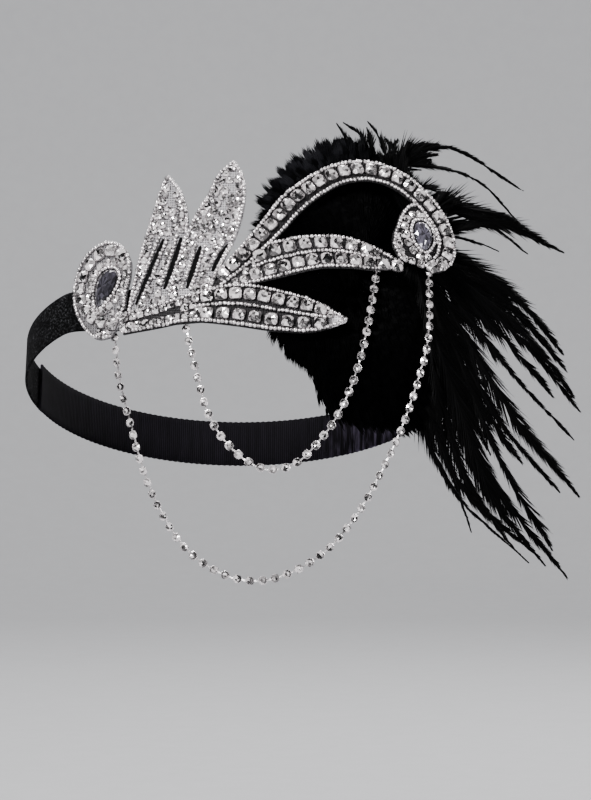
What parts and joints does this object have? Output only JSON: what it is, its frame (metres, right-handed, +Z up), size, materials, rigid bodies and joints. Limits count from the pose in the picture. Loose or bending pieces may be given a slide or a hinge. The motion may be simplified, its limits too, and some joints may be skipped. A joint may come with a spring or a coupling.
{
  "type": "flapper headpiece",
  "caption": "Beaded headband with a rhinestone leaf-and-scroll applique, two draped rhinestone chains and a black feather pad with sweeping plumes; worn round the head.",
  "frame": {"origin": "middle of the band loop, where the headpiece sits on a head", "axes": "+Z up as worn, +Y towards the back of the head, +X to the right of the front view"},
  "size_m": [0.2457, 0.1631, 0.1965],
  "materials": {
    "velvet": "short black pile",
    "elastic": "ribbed woven elastic, soft sheen",
    "silver_mesh": "silver-grey embroidered mesh",
    "rhinestone": "foil-backed clear cut stones in silver settings",
    "slate_stone": "slate-violet cut stone",
    "cup_chain": "silver-plated cups with clear stones",
    "feather": "matt black feather with a faint sheen"
  },
  "bodies": {
    "root": {"ribbon_front": "velvet", "elastic_back": "elastic", "paisley_left": "silver_mesh", "leaf_lower": "silver_mesh", "leaf_tall": "silver_mesh", "leaf_left": "silver_mesh", "leaf_middle": "silver_mesh", "scroll_arch": "silver_mesh", "paisley_right": "silver_mesh", "stones_arch": "rhinestone", "stones_middle_upper": "rhinestone", "stones_middle_lower": "rhinestone", "stones_lower_upper": "rhinestone", "stones_lower_lower": "rhinestone", "stones_paisley_left": "rhinestone", "pear_stone_left": "slate_stone", "pear_stone_right": "slate_stone", "chain_short": "cup_chain", "chain_long": "cup_chain", "feather_pad": "feather", "plume_spray": "feather"}
  },
  "joints": []
}
